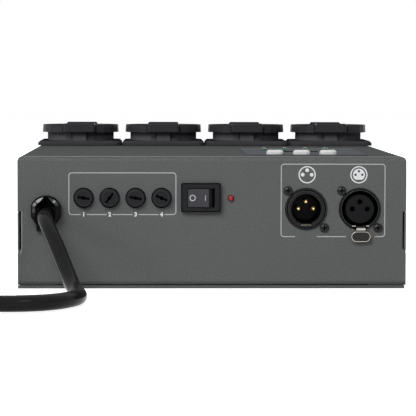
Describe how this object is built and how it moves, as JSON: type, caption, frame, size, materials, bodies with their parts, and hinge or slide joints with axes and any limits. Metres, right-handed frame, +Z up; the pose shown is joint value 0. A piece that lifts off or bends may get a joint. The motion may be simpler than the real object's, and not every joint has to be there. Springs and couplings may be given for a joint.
{
  "type": "dmx switch pack",
  "caption": "Stage lighting switch pack: a grey steel box with mains outlets on top, fuse holders, a rocker switch, data connectors and a black mains lead with a coiled end.",
  "frame": {"origin": "centre of the footprint of the box, on the surface that it stands on, measured without the free lead", "axes": "+X to the right along the connector panel, +Y from the connector panel to the back, +Z up"},
  "size_m": [0.353, 0.3423, 0.0838],
  "materials": {
    "housing_paint": "grey powder coat, fine texture",
    "base_paint": "grey powder coat",
    "screw_black": "black oxide",
    "outlet_black": "satin moulded black",
    "live_brown": "brass sleeve with a brown insulated wire",
    "neutral_brass": "brass bar and sleeves with a blue insulated wire",
    "earth_nickel": "nickel plated straps with a green and yellow wire",
    "fuse_black": "moulded black",
    "fuse_cap": "moulded black, slightly glossy",
    "fuse_glass": "clear glass tube with nickel end caps",
    "switch_black": "moulded black",
    "rocker_black": "moulded black with pale printed marks",
    "led_red": "tinted clear resin",
    "led_green": "tinted clear resin",
    "xlr_black": "black coated die casting",
    "insert_black": "black thermoplastic",
    "contact_gold": "gold flashed",
    "latch_nickel": "nickel plated",
    "film": "satin printed film",
    "window": "dark tinted acrylic",
    "button_grey": "satin light grey",
    "board_green": "solder mask green with black parts",
    "core_steel": "lacquered laminations with a yellow bobbin",
    "relief_black": "glossy black nylon",
    "cord_black": "satin black sheath",
    "tie_black": "woven strap",
    "plug_black": "moulded black with nickel pins"
  },
  "bodies": {
    "root": {"housing": "housing_paint", "base_plate": "base_paint", "cover_screw_1": "screw_black", "cover_screw_2": "screw_black", "cover_screw_3": "screw_black", "cover_screw_4": "screw_black", "xlr_screw_1": "screw_black", "xlr_screw_2": "screw_black", "xlr_screw_3": "screw_black", "xlr_screw_4": "screw_black", "outlet_1": "outlet_black", "outlet_2": "outlet_black", "outlet_3": "outlet_black", "outlet_4": "outlet_black", "live_lead_1": "live_brown", "live_lead_2": "live_brown", "live_lead_3": "live_brown", "live_lead_4": "live_brown", "neutral_bus": "neutral_brass", "earth_bus": "earth_nickel", "fuse_holder_1": "fuse_black", "fuse_holder_2": "fuse_black", "fuse_holder_3": "fuse_black", "fuse_holder_4": "fuse_black", "switch_body": "switch_black", "power_led": "led_red", "channel_led_1": "led_green", "channel_led_2": "led_green", "channel_led_3": "led_green", "channel_led_4": "led_green", "xlr_in_shell": "xlr_black", "xlr_out_shell": "xlr_black", "xlr_in_insert": "insert_black", "xlr_out_insert": "insert_black", "xlr_in_pin_1": "contact_gold", "xlr_in_pin_2": "contact_gold", "xlr_in_pin_3": "contact_gold", "control_overlay": "film", "display_window": "window", "control_board": "board_green", "relay_board": "board_green", "supply_transformer": "core_steel", "strain_relief": "relief_black", "mains_cable": "cord_black", "mains_coil": "cord_black", "coil_tie": "tie_black", "mains_plug": "plug_black"},
    "switch_rocker": {"switch_rocker": "rocker_black"},
    "xlr_out_latch": {"xlr_out_latch": "latch_nickel"},
    "button_1": {"button_1": "button_grey"},
    "button_2": {"button_2": "button_grey"},
    "button_3": {"button_3": "button_grey"},
    "fuse_link_1": {"fuse_link_1": "fuse_glass"},
    "fuse_knob_1": {"fuse_knob_1": "fuse_cap"},
    "fuse_link_2": {"fuse_link_2": "fuse_glass"},
    "fuse_knob_2": {"fuse_knob_2": "fuse_cap"},
    "fuse_link_3": {"fuse_link_3": "fuse_glass"},
    "fuse_knob_3": {"fuse_knob_3": "fuse_cap"},
    "fuse_link_4": {"fuse_link_4": "fuse_glass"},
    "fuse_knob_4": {"fuse_knob_4": "fuse_cap"}
  },
  "joints": [
    {"name": "rocker_turn", "type": "hinge", "parent": "root", "child": "switch_rocker", "pos_m": [-0.00605, -0.106, 0.04825], "axis": [0, 0, 1], "range_deg": [0, 24]},
    {"name": "latch_press", "type": "hinge", "parent": "root", "child": "xlr_out_latch", "pos_m": [0.0788, -0.104, 0.033], "axis": [1, 0, 0], "range_deg": [0, 8], "stiffness_Nm_per_rad": 0.1},
    {"name": "button_1_press", "type": "slide", "parent": "root", "child": "button_1", "axis": [0, 0, -1], "range_m": [0, 0.0005], "stiffness_N_per_m": 300},
    {"name": "button_2_press", "type": "slide", "parent": "root", "child": "button_2", "axis": [0, 0, -1], "range_m": [0, 0.0005], "stiffness_N_per_m": 300},
    {"name": "button_3_press", "type": "slide", "parent": "root", "child": "button_3", "axis": [0, 0, -1], "range_m": [0, 0.0005], "stiffness_N_per_m": 300},
    {"name": "fuse_1_draw", "type": "slide", "parent": "root", "child": "fuse_link_1", "axis": [0, -1, 0], "range_m": [0, 0.03]},
    {"name": "fuse_1_unlock", "type": "hinge", "parent": "fuse_link_1", "child": "fuse_knob_1", "pos_m": [-0.0681, -0.11, 0.0482], "axis": [0, -1, 0], "range_deg": [0, 60]},
    {"name": "fuse_2_draw", "type": "slide", "parent": "root", "child": "fuse_link_2", "axis": [0, -1, 0], "range_m": [0, 0.03]},
    {"name": "fuse_2_unlock", "type": "hinge", "parent": "fuse_link_2", "child": "fuse_knob_2", "pos_m": [-0.05437, -0.11, 0.0482], "axis": [0, -1, 0], "range_deg": [0, 60]},
    {"name": "fuse_3_draw", "type": "slide", "parent": "root", "child": "fuse_link_3", "axis": [0, -1, 0], "range_m": [0, 0.03]},
    {"name": "fuse_3_unlock", "type": "hinge", "parent": "fuse_link_3", "child": "fuse_knob_3", "pos_m": [-0.04063, -0.11, 0.0482], "axis": [0, -1, 0], "range_deg": [0, 60]},
    {"name": "fuse_4_draw", "type": "slide", "parent": "root", "child": "fuse_link_4", "axis": [0, -1, 0], "range_m": [0, 0.03]},
    {"name": "fuse_4_unlock", "type": "hinge", "parent": "fuse_link_4", "child": "fuse_knob_4", "pos_m": [-0.0269, -0.11, 0.0482], "axis": [0, -1, 0], "range_deg": [0, 60]}
  ]
}
